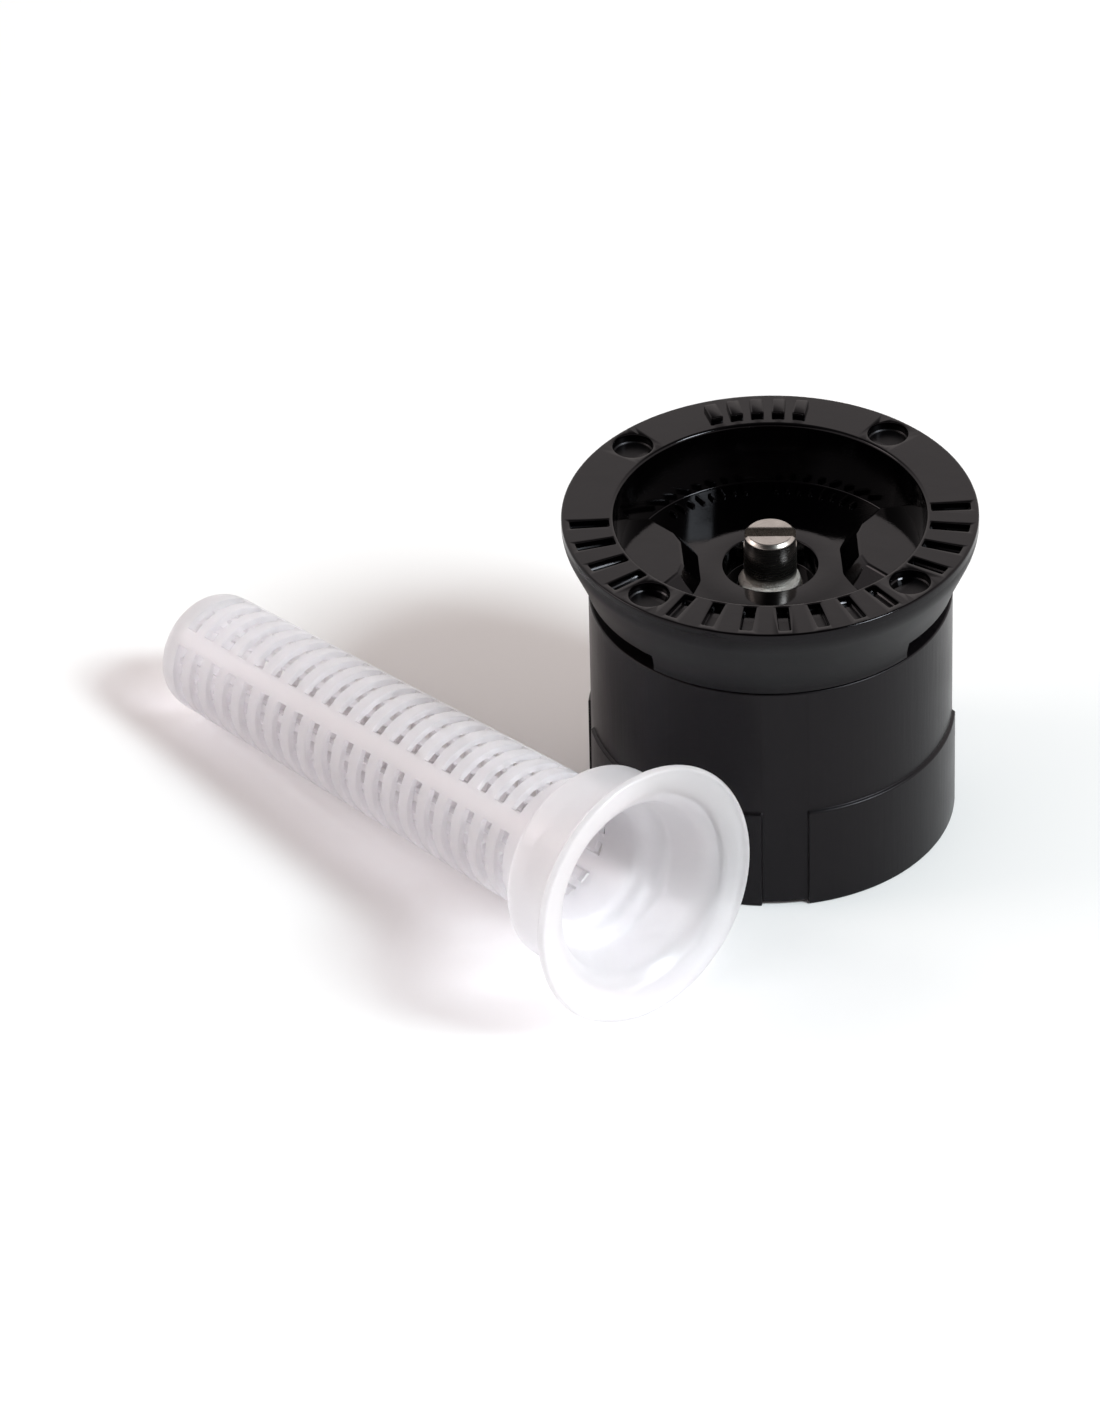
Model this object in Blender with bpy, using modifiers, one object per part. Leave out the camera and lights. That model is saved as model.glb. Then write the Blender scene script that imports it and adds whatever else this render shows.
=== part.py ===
"""Pop-up spray nozzle with its filter screen, as an assembly of separate pieces.

The nozzle stands upright on its rim and the screen lies on the same surface beside it.
Units are metres, +Z is up, and the set's footprint is centred on the origin.
Heights called "..._z" inside the nozzle are measured up from the surface it stands on.
The screen is built along its own axis: 0 is the face of its rim and + runs to its closed tip.
"""
import math

import bmesh
import bpy
from mathutils import Matrix, Vector

MM = 0.001
ROUND_STEPS = 48                  # flat sides round a turned piece
SMALL_STEPS = 24                  # flat sides round the screw and the screen's tube
SMOOTH_ANGLE = math.radians(35)   # edges sharper than this stay crisp
MERGE = 0.00001                   # merge distance of the turned profiles
PAST = 0.5 * MM                   # how far a cutter runs past the wall that it cuts

# ---- where the two groups stand ----
NOZZLE_AT = (12.38 * MM, 4.61 * MM)      # the nozzle's axis
RIM_FROM_NOZZLE = (-8.93 * MM, -20.36 * MM)   # middle of the screen's rim, from the nozzle's axis
SCREEN_HEADING = math.radians(127.3)     # plan direction from the screen's rim to its tip

# ---- deflector cap ----
TOP_Z = 21.44 * MM                # top of the flange: the height of the nozzle
FLANGE_R = 12.70 * MM
FLANGE_THICK = 1.00 * MM          # below it the flange tapers down to the neck
NECK_LOW = 0.50 * MM              # straight part of the neck above the joint with the body
NECK_HIGH = 1.60 * MM
NECK_FLARE = 0.30 * MM            # how far the neck has widened at that height
FLANGE_EDGE = 0.25 * MM           # chamfer round the flange's top edge
BOWL_MOUTH_R = 9.54 * MM
BOWL_FLOOR_R = 9.10 * MM
BOWL_DEPTH = 3.80 * MM
SEAM_DROP = 5.47 * MM             # flange top down to the joint with the body
SPIGOT_R = 10.00 * MM             # the ring of the cap that sits inside the body
SPIGOT_WALL = 1.30 * MM
SPIGOT_LENGTH = 2.80 * MM
BOSS_R = 4.00 * MM                # the post that carries the screw
BOSS_END_DROP = 13.00 * MM
COUNTERBORE_R = 2.90 * MM
COUNTERBORE_DROP = 5.50 * MM
THREAD_HOLE_R = 2.03 * MM
THREAD_HOLE_END_DROP = 8.20 * MM
KEYWAY_SIDE = 4.50 * MM           # square pocket under the threaded hole
TICK_COUNT_EACH_SIDE = 8
TICK_STEP = math.radians(11.1)
TICK_SIZE = (0.75 * MM, 2.40 * MM, 0.45 * MM)   # width, length, depth
TICK_MID_R = 11.00 * MM
DIMPLE_PLACE_IN_TICKS = 4         # each dimple takes the place of the fourth tick from the front
DIMPLE_R = 1.25 * MM
DIMPLE_DEPTH = 0.60 * MM
DIMPLE_MID_R = 11.10 * MM
DIMPLE_STEPS = 20
WINDOW_HALF_ANGLE = math.radians(46.5)
WINDOW_HEIGHT = 1.15 * MM
WINDOW_INNER_R = 6.40 * MM        # how far in the side windows are cut
WINDOW_STEPS = 12
CHANNEL_INNER = (5.20 * MM, 1.00 * MM)   # outlet channel: (x, half width) of its narrow inner end
CHANNEL_OUTER = (8.30 * MM, 3.20 * MM)
ROOF_FOOT = ((4.30, 1.30), (4.85, 2.60), (6.60, 4.60), (9.60, 4.60))   # (x, half width) at
ROOF_TOP = ((5.40, 1.20), (5.70, 2.10), (7.10, 3.75), (9.60, 3.90))    # the floor, in mm
ROOF_TOP_DROP = 2.60 * MM         # top of the channel's raised roof below the flange top
ROOF_THICK = 0.80 * MM
MARK_SIZE = (0.80 * MM, 1.50 * MM, 0.30 * MM)   # plain raised bars at the back of the flange
MARK_COUNT = 5
MARK_STEP = math.radians(7.0)
MARK_MID_R = 11.10 * MM

# ---- nozzle body ----
SKIRT_R = 11.13 * MM
SEAM_GAP = 0.10 * MM
PAD_R = 11.33 * MM                # the four grip pads stand a little proud of the skirt
PAD_TOP_DROP = 14.53 * MM
GRIP_GROOVE_HALF_ANGLE = math.radians(7.25)
GRIP_GROOVE_COUNT = 4
GRIP_GROOVE_LIFT = 0.25 * MM      # the rim stops this much short at each groove
GRIP_GROOVE_STEPS = 4
SOCKET_R = 9.50 * MM              # bore that the riser screws into
SOCKET_LEAD_IN = 0.40 * MM
SEAT_DROP = 11.00 * MM            # the seat that the screen's rim closes against
CHAMBER_R = 7.40 * MM
FIT_GAP = 0.30 * MM               # gap between the cap's spigot and its pocket

# ---- adjusting screw, M4 x 0.7 ----
SCREW_TIP_DROP = 1.40 * MM        # top of the slotted end below the flange top
PLAIN_R = 1.62 * MM
SCREW_CHAMFER = 0.22 * MM
SCREW_THREAD_R = 1.96 * MM
THREAD_START_DROP = 4.45 * MM
THREAD_END_DROP = 8.90 * MM
JOURNAL_R = 1.25 * MM             # the neck that turns inside the throttle plug
JOURNAL_END_DROP = 12.60 * MM
SLOT_SIZE = (0.85 * MM, 0.90 * MM)       # width, depth
SLOT_TURN = math.radians(-4.0)    # how far the slot is turned from the X axis

# ---- throttle plug ----
HUB_SIDE = 4.40 * MM
HUB_TOP_DROP = 9.20 * MM
DISC_TOP_DROP = 13.90 * MM
DISC_R = 3.60 * MM
DISC_EDGE = 0.80 * MM
CONE_END_R = 2.20 * MM
CONE_END_DROP = 15.40 * MM
JOURNAL_HOLE_R = 1.30 * MM
JOURNAL_HOLE_END_DROP = 12.90 * MM

# ---- filter screen ----
RIM_R = 8.27 * MM
RIM_EDGE_AT = 0.35 * MM           # the widest part of the rim, which touches the surface
RIM_BACK_AT = 0.62 * MM           # flat back of the rim, which sits on the riser in use
CUP_R = 6.33 * MM
SHOULDER_AT = 5.75 * MM           # where the cup steps down to the tube
TUBE_START_R = 4.48 * MM
TUBE_END_R = 3.84 * MM
TUBE_END_AT = 43.10 * MM
TUBE_EDGE_AT = 42.00 * MM         # where the tube starts to round over into its closed tip
TUBE_WALL = 0.80 * MM
TIP_WALL = 1.00 * MM
NUB_R = 0.45 * MM
NUB_FOOT_R = 0.63 * MM
NUB_LENGTH = 2.60 * MM
TIP_ROUNDING = ((1.10, 0.10), (0.30, 0.45))   # (in from the side, back from the end) in mm
TIP_INNER_CHAMFER = 0.50 * MM
SHOULDER_ROUNDING = ((0.0, 0.55), (0.35, 0.15))   # (out from the tube, past the shoulder) in mm
CUP_CHAMFER = 0.35 * MM
COLLAR_FILLET = 0.25 * MM         # where the cup meets the back of the rim
RIM_BACK_CHAMFER = 0.20 * MM
RIM_FACE_CHAMFER = 0.15 * MM
RIM_FLAT = 0.22 * MM              # the narrow flat on the rim's face
DISH = ((6.52, 0.40), (5.58, 1.23), (4.80, 3.46), (4.45, 3.82))   # (radius, depth) of the mouth, mm
THROAT_END_AT = 5.44 * MM         # where the mouth has narrowed to the tube's bore
SLOT_ROW_START = 8.68 * MM        # middle of the first ring of slots
SLOT_ROW_STEP = 1.687 * MM
SLOT_ROW_COUNT = 20
SLOT_WIDTH = 0.80 * MM
SLOT_STEPS = 4
BAR_WIDTH = 1.30 * MM             # the four unbroken bars along the tube
BAR_TURN = math.radians(45)       # the bars run between the quarters of the tube


def reset_scene():
    """Empty the file and return the collections for the model and for its cutters."""
    for item in list(bpy.data.objects):
        bpy.data.objects.remove(item)
    model = bpy.data.collections.new("spray_nozzle")
    tools = bpy.data.collections.new("cutters")
    bpy.context.scene.collection.children.link(model)
    bpy.context.scene.collection.children.link(tools)
    return model, tools


MODEL, TOOLS = reset_scene()


def material(name, colour, roughness, metallic=0.0, transmission=0.0):
    made = bpy.data.materials.new(name)
    made.use_nodes = True
    shader = made.node_tree.nodes["Principled BSDF"]
    shader.inputs["Base Color"].default_value = (*colour, 1.0)
    shader.inputs["Roughness"].default_value = roughness
    shader.inputs["Metallic"].default_value = metallic
    shader.inputs["Transmission Weight"].default_value = transmission
    made.diffuse_color = (*colour, 1.0)
    made.roughness = roughness
    made.metallic = metallic
    return made


def axis_empty(name, place, turn=None):
    """An empty on the axis of a group of pieces."""
    empty = bpy.data.objects.new(name, None)
    MODEL.objects.link(empty)
    empty.location = place
    if turn is not None:
        empty.rotation_mode = "QUATERNION"
        empty.rotation_quaternion = turn
    return empty


def piece(name, mesh, look, parent):
    """A sub-part of the model."""
    made = bpy.data.objects.new(name, mesh)
    MODEL.objects.link(made)
    made.parent = parent
    mesh.materials.append(look)
    return made


def cutter(name, mesh, parent):
    """A tool shape: it is left out of the model and of any render."""
    made = bpy.data.objects.new(name, mesh)
    TOOLS.objects.link(made)
    made.parent = parent
    made.hide_render = True
    made.display_type = "WIRE"
    return made


def turned(target, steps):
    """Spin the target's profile round its Z axis."""
    spin = target.modifiers.new("turned", "SCREW")
    spin.axis = "Z"
    spin.angle = math.tau
    spin.steps = steps
    spin.render_steps = steps
    spin.use_merge_vertices = True
    spin.merge_threshold = MERGE
    spin.use_smooth_shade = False


def profile(name, points, closed=True):
    """A profile in the XZ plane, outer side first and from the top down."""
    mesh = bpy.data.meshes.new(name)
    links = [(i, i + 1) for i in range(len(points) - 1)]
    if closed:
        links.append((len(points) - 1, 0))
    mesh.from_pydata([(x, 0.0, z) for x, z in points], links, [])
    return mesh


def combine(target, tool, operation="DIFFERENCE"):
    step = target.modifiers.new(tool.name, "BOOLEAN")
    step.object = tool
    step.operation = operation
    step.solver = "EXACT"


def blocks(name, size, places):
    """One mesh with a box of the same size at each place (a matrix)."""
    work = bmesh.new()
    for place in places:
        made = bmesh.ops.create_cube(work, size=1.0)
        scale = Matrix.Diagonal((*size, 1.0))
        bmesh.ops.transform(work, matrix=place @ scale, verts=made["verts"])
    mesh = bpy.data.meshes.new(name)
    work.to_mesh(mesh)
    work.free()
    return mesh


def rods(name, radius, length, places, sides):
    """One mesh with an upright cylinder at each place (a matrix)."""
    work = bmesh.new()
    for place in places:
        bmesh.ops.create_cone(work, cap_ends=True, segments=sides, radius1=radius,
                              radius2=radius, depth=length, matrix=place)
    mesh = bpy.data.meshes.new(name)
    work.to_mesh(mesh)
    work.free()
    return mesh


def plates(name, outlines):
    """One mesh with each flat outline raised from its low height to its high one."""
    work = bmesh.new()
    for outline, low, high in outlines:
        corners = [work.verts.new((x, y, low)) for x, y in outline]
        face = work.faces.new(corners)
        grown = bmesh.ops.extrude_face_region(work, geom=[face])
        lifted = [item for item in grown["geom"] if isinstance(item, bmesh.types.BMVert)]
        bmesh.ops.translate(work, verts=lifted, vec=(0.0, 0.0, high - low))
    bmesh.ops.recalc_face_normals(work, faces=work.faces)
    mesh = bpy.data.meshes.new(name)
    work.to_mesh(mesh)
    work.free()
    return mesh


def hulls(name, clouds):
    """One mesh with the tight wrapping of each cloud of corner points."""
    work = bmesh.new()
    for cloud in clouds:
        corners = [work.verts.new(point) for point in cloud]
        bmesh.ops.convex_hull(work, input=corners)
    bmesh.ops.recalc_face_normals(work, faces=work.faces)
    mesh = bpy.data.meshes.new(name)
    work.to_mesh(mesh)
    work.free()
    return mesh


def around(angle, radius, height):
    """A place on the flange: angle 0 is the front (-Y) and + runs towards +X."""
    turn = Matrix.Rotation(angle, 4, "Z")
    return turn @ Matrix.Translation((0.0, -radius, height))


def sector(half_angle, inner, outer, middle, steps):
    """The outline of a piece of a ring; middle is its direction in plan."""
    spread = [middle - half_angle + 2 * half_angle * i / steps for i in range(steps + 1)]
    far = [(outer * math.cos(a), outer * math.sin(a)) for a in spread]
    near = [(inner * math.cos(a), inner * math.sin(a)) for a in reversed(spread)]
    return far + near


# ---- deflector cap: flange, bowl, outlet channels and the post for the screw ----

def cap_profile():
    seam_z = TOP_Z - SEAM_DROP
    return [
        (FLANGE_R - FLANGE_EDGE, TOP_Z),
        (FLANGE_R, TOP_Z - FLANGE_EDGE),
        (FLANGE_R, TOP_Z - FLANGE_THICK),
        (SKIRT_R + NECK_FLARE, seam_z + NECK_HIGH),
        (SKIRT_R, seam_z + NECK_LOW),
        (SKIRT_R, seam_z),
        (SPIGOT_R, seam_z),
        (SPIGOT_R, seam_z - SPIGOT_LENGTH),
        (SPIGOT_R - SPIGOT_WALL, seam_z - SPIGOT_LENGTH),
        (SPIGOT_R - SPIGOT_WALL, seam_z),
        (BOSS_R, seam_z),
        (BOSS_R, TOP_Z - BOSS_END_DROP),
        (THREAD_HOLE_R, TOP_Z - BOSS_END_DROP),
        (THREAD_HOLE_R, TOP_Z - COUNTERBORE_DROP),
        (COUNTERBORE_R, TOP_Z - COUNTERBORE_DROP),
        (COUNTERBORE_R, TOP_Z - BOWL_DEPTH),
        (BOWL_FLOOR_R, TOP_Z - BOWL_DEPTH),
        (BOWL_MOUTH_R, TOP_Z),
    ]


def roof_cloud(side):
    """Corners of one channel roof, a low block with sloping sides that runs into the bowl's wall."""
    floor_z = TOP_Z - BOWL_DEPTH
    below = PAST / (BOWL_DEPTH - ROOF_TOP_DROP)
    cloud = []
    for (foot_x, foot_y), (top_x, top_y) in zip(ROOF_FOOT, ROOF_TOP):
        root_x, root_y = foot_x + (foot_x - top_x) * below, foot_y + (foot_y - top_y) * below
        for way in (1, -1):
            cloud.append((side * top_x * MM, way * top_y * MM, TOP_Z - ROOF_TOP_DROP))
            cloud.append((side * root_x * MM, way * root_y * MM, floor_z - PAST))
    return cloud


def channel_cloud(side):
    """Corners of the hollow under one roof, open at the bottom."""
    low = TOP_Z - SEAM_DROP - PAST
    high = TOP_Z - ROOF_TOP_DROP - ROOF_THICK
    return [(side * x, way * y, z) for x, y in (CHANNEL_INNER, CHANNEL_OUTER)
            for way in (1, -1) for z in (low, high)]


def make_cap(axis, black):
    cap = piece("deflector_cap", profile("deflector_cap", cap_profile()), black, axis)
    turned(cap, ROUND_STEPS)

    roofs = cutter("roof_blocks", hulls("roof_blocks", [roof_cloud(1), roof_cloud(-1)]), axis)
    combine(cap, roofs, "UNION")
    channels = cutter("channel_hollows",
                      hulls("channel_hollows", [channel_cloud(1), channel_cloud(-1)]), axis)
    combine(cap, channels)

    seam_z = TOP_Z - SEAM_DROP
    outlines = [(sector(WINDOW_HALF_ANGLE, WINDOW_INNER_R, FLANGE_R, middle, WINDOW_STEPS),
                 seam_z, seam_z + WINDOW_HEIGHT) for middle in (0.0, math.pi)]
    windows = cutter("spray_windows", plates("spray_windows", outlines), axis)
    combine(cap, windows)

    keyway_high = TOP_Z - THREAD_HOLE_END_DROP
    keyway_low = TOP_Z - BOSS_END_DROP - PAST
    keyway = cutter("keyway", blocks(
        "keyway", (KEYWAY_SIDE, KEYWAY_SIDE, keyway_high - keyway_low),
        [Matrix.Translation((0.0, 0.0, (keyway_high + keyway_low) / 2))]), axis)
    combine(cap, keyway)

    numbers = range(-TICK_COUNT_EACH_SIDE, TICK_COUNT_EACH_SIDE + 1)
    ticks = [n for n in numbers if abs(n) != DIMPLE_PLACE_IN_TICKS]
    width, length, depth = TICK_SIZE
    tick_slots = cutter("tick_slots", blocks(
        "tick_slots", (width, length, depth + PAST),
        [around(n * TICK_STEP, TICK_MID_R, TOP_Z + (PAST - depth) / 2) for n in ticks]), axis)
    combine(cap, tick_slots)

    corners = [math.radians(a) for a in (45, 135, 225, 315)]
    dimples = cutter("dimples", rods(
        "dimples", DIMPLE_R, DIMPLE_DEPTH + PAST,
        [around(a, DIMPLE_MID_R, TOP_Z + (PAST - DIMPLE_DEPTH) / 2) for a in corners],
        DIMPLE_STEPS), axis)
    combine(cap, dimples)

    width, length, height = MARK_SIZE
    first = -(MARK_COUNT - 1) / 2
    marks = cutter("flange_marks", blocks(
        "flange_marks", (width, length, height + PAST),
        [around(math.pi + (first + i) * MARK_STEP, MARK_MID_R, TOP_Z + (height - PAST) / 2)
         for i in range(MARK_COUNT)]), axis)
    combine(cap, marks, "UNION")
    return cap


# ---- nozzle body: the skirt that screws onto the riser ----

def body_profile():
    top = TOP_Z - SEAM_DROP - SEAM_GAP
    pocket_floor = TOP_Z - SEAM_DROP - SPIGOT_LENGTH - FIT_GAP
    pad_top = TOP_Z - PAD_TOP_DROP
    return [
        (SKIRT_R, top),
        (SKIRT_R, pad_top + (PAD_R - SKIRT_R)),
        (PAD_R, pad_top),
        (PAD_R, 0.0),
        (SOCKET_R + SOCKET_LEAD_IN, 0.0),
        (SOCKET_R, SOCKET_LEAD_IN),
        (SOCKET_R, TOP_Z - SEAT_DROP),
        (CHAMBER_R, TOP_Z - SEAT_DROP),
        (CHAMBER_R, pocket_floor),
        (SPIGOT_R + SEAM_GAP, pocket_floor),
        (SPIGOT_R + SEAM_GAP, top),
    ]


def make_body(axis, black):
    body = piece("nozzle_body", profile("nozzle_body", body_profile()), black, axis)
    turned(body, ROUND_STEPS)
    cuts = (("grip_grooves", SKIRT_R, TOP_Z - PAD_TOP_DROP + PAST),
            ("rim_notches", SOCKET_R - PAST, GRIP_GROOVE_LIFT))
    for name, inner, high in cuts:
        outlines = []
        for i in range(GRIP_GROOVE_COUNT):
            middle = math.tau * i / GRIP_GROOVE_COUNT
            outlines.append((sector(GRIP_GROOVE_HALF_ANGLE, inner, PAD_R + PAST, middle,
                                    GRIP_GROOVE_STEPS), -PAST, high))
        combine(body, cutter(name, plates(name, outlines), axis))
    return body


# ---- adjusting screw and the throttle plug that it drives ----

def screw_profile():
    tip = TOP_Z - SCREW_TIP_DROP
    step = SCREW_THREAD_R - PLAIN_R
    return [
        (0.0, tip),
        (PLAIN_R - SCREW_CHAMFER, tip),
        (PLAIN_R, tip - SCREW_CHAMFER),
        (PLAIN_R, TOP_Z - THREAD_START_DROP),
        (SCREW_THREAD_R, TOP_Z - THREAD_START_DROP - step),
        (SCREW_THREAD_R, TOP_Z - THREAD_END_DROP),
        (JOURNAL_R, TOP_Z - THREAD_END_DROP),
        (JOURNAL_R, TOP_Z - JOURNAL_END_DROP),
        (0.0, TOP_Z - JOURNAL_END_DROP),
    ]


def make_screw(axis, steel):
    screw = piece("adjusting_screw", profile("adjusting_screw", screw_profile(), closed=False),
                  steel, axis)
    turned(screw, SMALL_STEPS)
    width, depth = SLOT_SIZE
    tip = TOP_Z - SCREW_TIP_DROP
    place = Matrix.Rotation(SLOT_TURN, 4, "Z") @ Matrix.Translation(
        (0.0, 0.0, tip + (PAST - depth) / 2))
    slot = cutter("driver_slot", blocks("driver_slot", (4 * PLAIN_R, width, depth + PAST), [place]),
                  axis)
    combine(screw, slot)
    return screw


def plug_profile():
    disc_top = TOP_Z - DISC_TOP_DROP
    return [
        (0.0, disc_top),
        (DISC_R, disc_top),
        (DISC_R, disc_top - DISC_EDGE),
        (CONE_END_R, TOP_Z - CONE_END_DROP),
        (0.0, TOP_Z - CONE_END_DROP),
    ]


def make_plug(axis, grey):
    plug = piece("throttle_plug", profile("throttle_plug", plug_profile(), closed=False),
                 grey, axis)
    turned(plug, SMALL_STEPS)
    hub_top = TOP_Z - HUB_TOP_DROP
    hub_low = TOP_Z - DISC_TOP_DROP - PAST
    hub = cutter("plug_hub", blocks(
        "plug_hub", (HUB_SIDE, HUB_SIDE, hub_top - hub_low),
        [Matrix.Translation((0.0, 0.0, (hub_top + hub_low) / 2))]), axis)
    combine(plug, hub, "UNION")
    hole_low = TOP_Z - JOURNAL_HOLE_END_DROP
    length = hub_top + PAST - hole_low
    hole = cutter("journal_hole", rods(
        "journal_hole", JOURNAL_HOLE_R, length,
        [Matrix.Translation((0.0, 0.0, hole_low + length / 2))], SMALL_STEPS), axis)
    combine(plug, hole)
    return plug


# ---- filter screen ----

def screen_profile():
    inner_start = TUBE_START_R - TUBE_WALL
    inner_end = TUBE_END_R - TUBE_WALL
    tip_inside = TUBE_END_AT - TIP_WALL
    tip = [(TUBE_END_R - x * MM, TUBE_END_AT - z * MM) for x, z in TIP_ROUNDING]
    shoulder = [(TUBE_START_R + x * MM, SHOULDER_AT + z * MM) for x, z in SHOULDER_ROUNDING]
    return [
        (0.0, TUBE_END_AT + NUB_LENGTH),
        (NUB_R, TUBE_END_AT + NUB_LENGTH),
        (NUB_FOOT_R, TUBE_END_AT),
        *tip,
        (TUBE_END_R, TUBE_EDGE_AT),
        *shoulder,
        (CUP_R - CUP_CHAMFER, SHOULDER_AT),
        (CUP_R, SHOULDER_AT - CUP_CHAMFER),
        (CUP_R, RIM_BACK_AT + COLLAR_FILLET),
        (CUP_R + COLLAR_FILLET, RIM_BACK_AT),
        (RIM_R - RIM_BACK_CHAMFER, RIM_BACK_AT),
        (RIM_R, RIM_EDGE_AT),
        (RIM_R, RIM_FACE_CHAMFER),
        (RIM_R - RIM_FACE_CHAMFER, 0.0),
        (RIM_R - RIM_FACE_CHAMFER - RIM_FLAT, 0.0),
        *[(radius * MM, depth * MM) for radius, depth in DISH],
        (inner_start, THROAT_END_AT),
        (inner_end, tip_inside - TIP_INNER_CHAMFER),
        (inner_end - TIP_INNER_CHAMFER, tip_inside),
        (0.0, tip_inside),
    ]


def slot_rings(axis):
    """Flat rings, one for each row of slots, split where the four bars run."""
    inner = TUBE_END_R - TUBE_WALL - PAST
    outer = TUBE_START_R + PAST
    half = math.tau / 8 - BAR_WIDTH / (TUBE_START_R + TUBE_END_R)
    outlines = []
    for row in range(SLOT_ROW_COUNT):
        low = SLOT_ROW_START + row * SLOT_ROW_STEP - SLOT_WIDTH / 2
        for quarter in range(4):
            heading = BAR_TURN + math.tau / 8 + quarter * math.tau / 4
            outlines.append((sector(half, inner, outer, heading, SLOT_STEPS),
                             low, low + SLOT_WIDTH))
    return cutter("slot_rings", plates("slot_rings", outlines), axis)


def make_screen(axis, milky):
    screen = piece("filter_screen", profile("filter_screen", screen_profile(), closed=False),
                   milky, axis)
    turned(screen, SMALL_STEPS)
    combine(screen, slot_rings(axis))
    return screen


def screen_axis():
    """The screen leans on its rim and on the edge of its tip, so its axis slopes down a little."""
    slope = math.atan2(RIM_R - TUBE_END_R, TUBE_EDGE_AT - RIM_EDGE_AT)
    along = Vector((math.cos(SCREEN_HEADING) * math.cos(slope),
                    math.sin(SCREEN_HEADING) * math.cos(slope), -math.sin(slope)))
    side = Vector((-math.sin(SCREEN_HEADING), math.cos(SCREEN_HEADING), 0.0))
    turn = Matrix((side, along.cross(side), along)).transposed().to_quaternion()
    place = (NOZZLE_AT[0] + RIM_FROM_NOZZLE[0], NOZZLE_AT[1] + RIM_FROM_NOZZLE[1],
             RIM_R * math.cos(slope) + RIM_EDGE_AT * math.sin(slope))
    return axis_empty("screen_axis", place, turn)


def main():
    black = material("black_nozzle_plastic", (0.012, 0.012, 0.013), 0.28)
    steel = material("stainless_steel", (0.62, 0.60, 0.57), 0.24, metallic=1.0)
    grey = material("grey_plug_plastic", (0.16, 0.16, 0.17), 0.45)
    milky = material("milky_screen_plastic", (0.86, 0.87, 0.88), 0.32, transmission=0.5)

    nozzle = axis_empty("nozzle_axis", (*NOZZLE_AT, 0.0))
    make_body(nozzle, black)
    make_cap(nozzle, black)
    make_plug(nozzle, grey)
    make_screw(nozzle, steel)
    make_screen(screen_axis(), milky)


main()
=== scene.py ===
# %% [markdown]
# # A spray nozzle and its filter screen
# A pop-up sprinkler throws water from a small black nozzle at the top of its riser. This one is
# built from a deflector cap welded onto a skirt, a stainless adjusting screw in the middle, a
# throttle plug under it, and a long milky filter screen that drops into the riser below.
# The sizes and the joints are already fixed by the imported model. This lesson loads that model and
# rebuilds its surfaces at a finer scale: soft edges, threads, ribs and the finish of each plastic.

# %% Load the fixed frame
import math

import bmesh
import bpy
from mathutils import Matrix, Vector


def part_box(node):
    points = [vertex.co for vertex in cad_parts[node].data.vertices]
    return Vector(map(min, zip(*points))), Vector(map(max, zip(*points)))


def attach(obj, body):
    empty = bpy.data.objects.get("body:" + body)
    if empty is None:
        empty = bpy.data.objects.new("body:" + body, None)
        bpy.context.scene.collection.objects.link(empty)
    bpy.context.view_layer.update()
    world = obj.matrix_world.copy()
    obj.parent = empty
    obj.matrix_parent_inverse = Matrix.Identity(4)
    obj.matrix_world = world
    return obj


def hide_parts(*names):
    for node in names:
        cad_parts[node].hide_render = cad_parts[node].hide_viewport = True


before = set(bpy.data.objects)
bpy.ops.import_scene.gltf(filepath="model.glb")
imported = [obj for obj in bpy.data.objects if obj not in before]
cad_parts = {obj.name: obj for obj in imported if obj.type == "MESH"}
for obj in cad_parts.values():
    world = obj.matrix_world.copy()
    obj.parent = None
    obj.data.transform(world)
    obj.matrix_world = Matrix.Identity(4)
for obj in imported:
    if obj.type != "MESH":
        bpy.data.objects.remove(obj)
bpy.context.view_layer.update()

MM = 0.001

# %% [markdown]
# ## Where things stand
# Each piece is easiest to model round its own axis, so two matrices carry the finished shapes to
# their places: one for everything that shares the nozzle's upright axis, one for the screen,
# which leans on its rim and on the edge of its tip. The nozzle's axis and the height of its
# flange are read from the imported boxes. Inside the nozzle a "drop" is a depth below that flange.

# %% The nozzle's axis and the height of its flange
MARK_HEIGHT = 0.30
body_low, body_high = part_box("nozzle_body")
AXIS_X = (body_low.x + body_high.x) / 2
AXIS_Y = (body_low.y + body_high.y) / 2
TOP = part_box("deflector_cap")[1].z / MM - MARK_HEIGHT
NOZZLE_PLACE = Matrix.Translation((AXIS_X, AXIS_Y, 0.0))
print("nozzle axis", round(AXIS_X / MM, 2), round(AXIS_Y / MM, 2), "flange top", round(TOP, 2))

# %% The screen's leaning axis
RIM_R = 8.27
RIM_EDGE_AT = 0.35
TUBE_START_R = 4.48
TUBE_END_R = 3.84
TUBE_EDGE_AT = 42.00
SCREEN_HEADING = math.radians(127.3)
RIM_FROM_NOZZLE = (-8.93, -20.36)

slope = math.atan2(RIM_R - TUBE_END_R, TUBE_EDGE_AT - RIM_EDGE_AT)
along = Vector((math.cos(SCREEN_HEADING) * math.cos(slope),
                math.sin(SCREEN_HEADING) * math.cos(slope), -math.sin(slope)))
sideways = Vector((-math.sin(SCREEN_HEADING), math.cos(SCREEN_HEADING), 0.0))
rim_middle = Vector((AXIS_X + RIM_FROM_NOZZLE[0] * MM, AXIS_Y + RIM_FROM_NOZZLE[1] * MM,
                     (RIM_R * math.cos(slope) + RIM_EDGE_AT * math.sin(slope)) * MM))
turn = Matrix((sideways, along.cross(sideways), along)).transposed()
SCREEN_PLACE = Matrix.Translation(rim_middle) @ turn.to_4x4()
print("screen slopes", round(math.degrees(slope), 2), "degrees down to its tip")

# %% [markdown]
# ## Shaping tools
# Most of these pieces come off a mould that was turned on a lathe, so a profile swept round an
# axis makes nearly all of them. A Screw modifier would do that, but a thread or a grip pad makes
# the radius change on the way round, so here each ring of points is worked out by a function.
# Moulded edges are never sharp: `rounded` puts a small curve at each corner of an outline.

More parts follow.
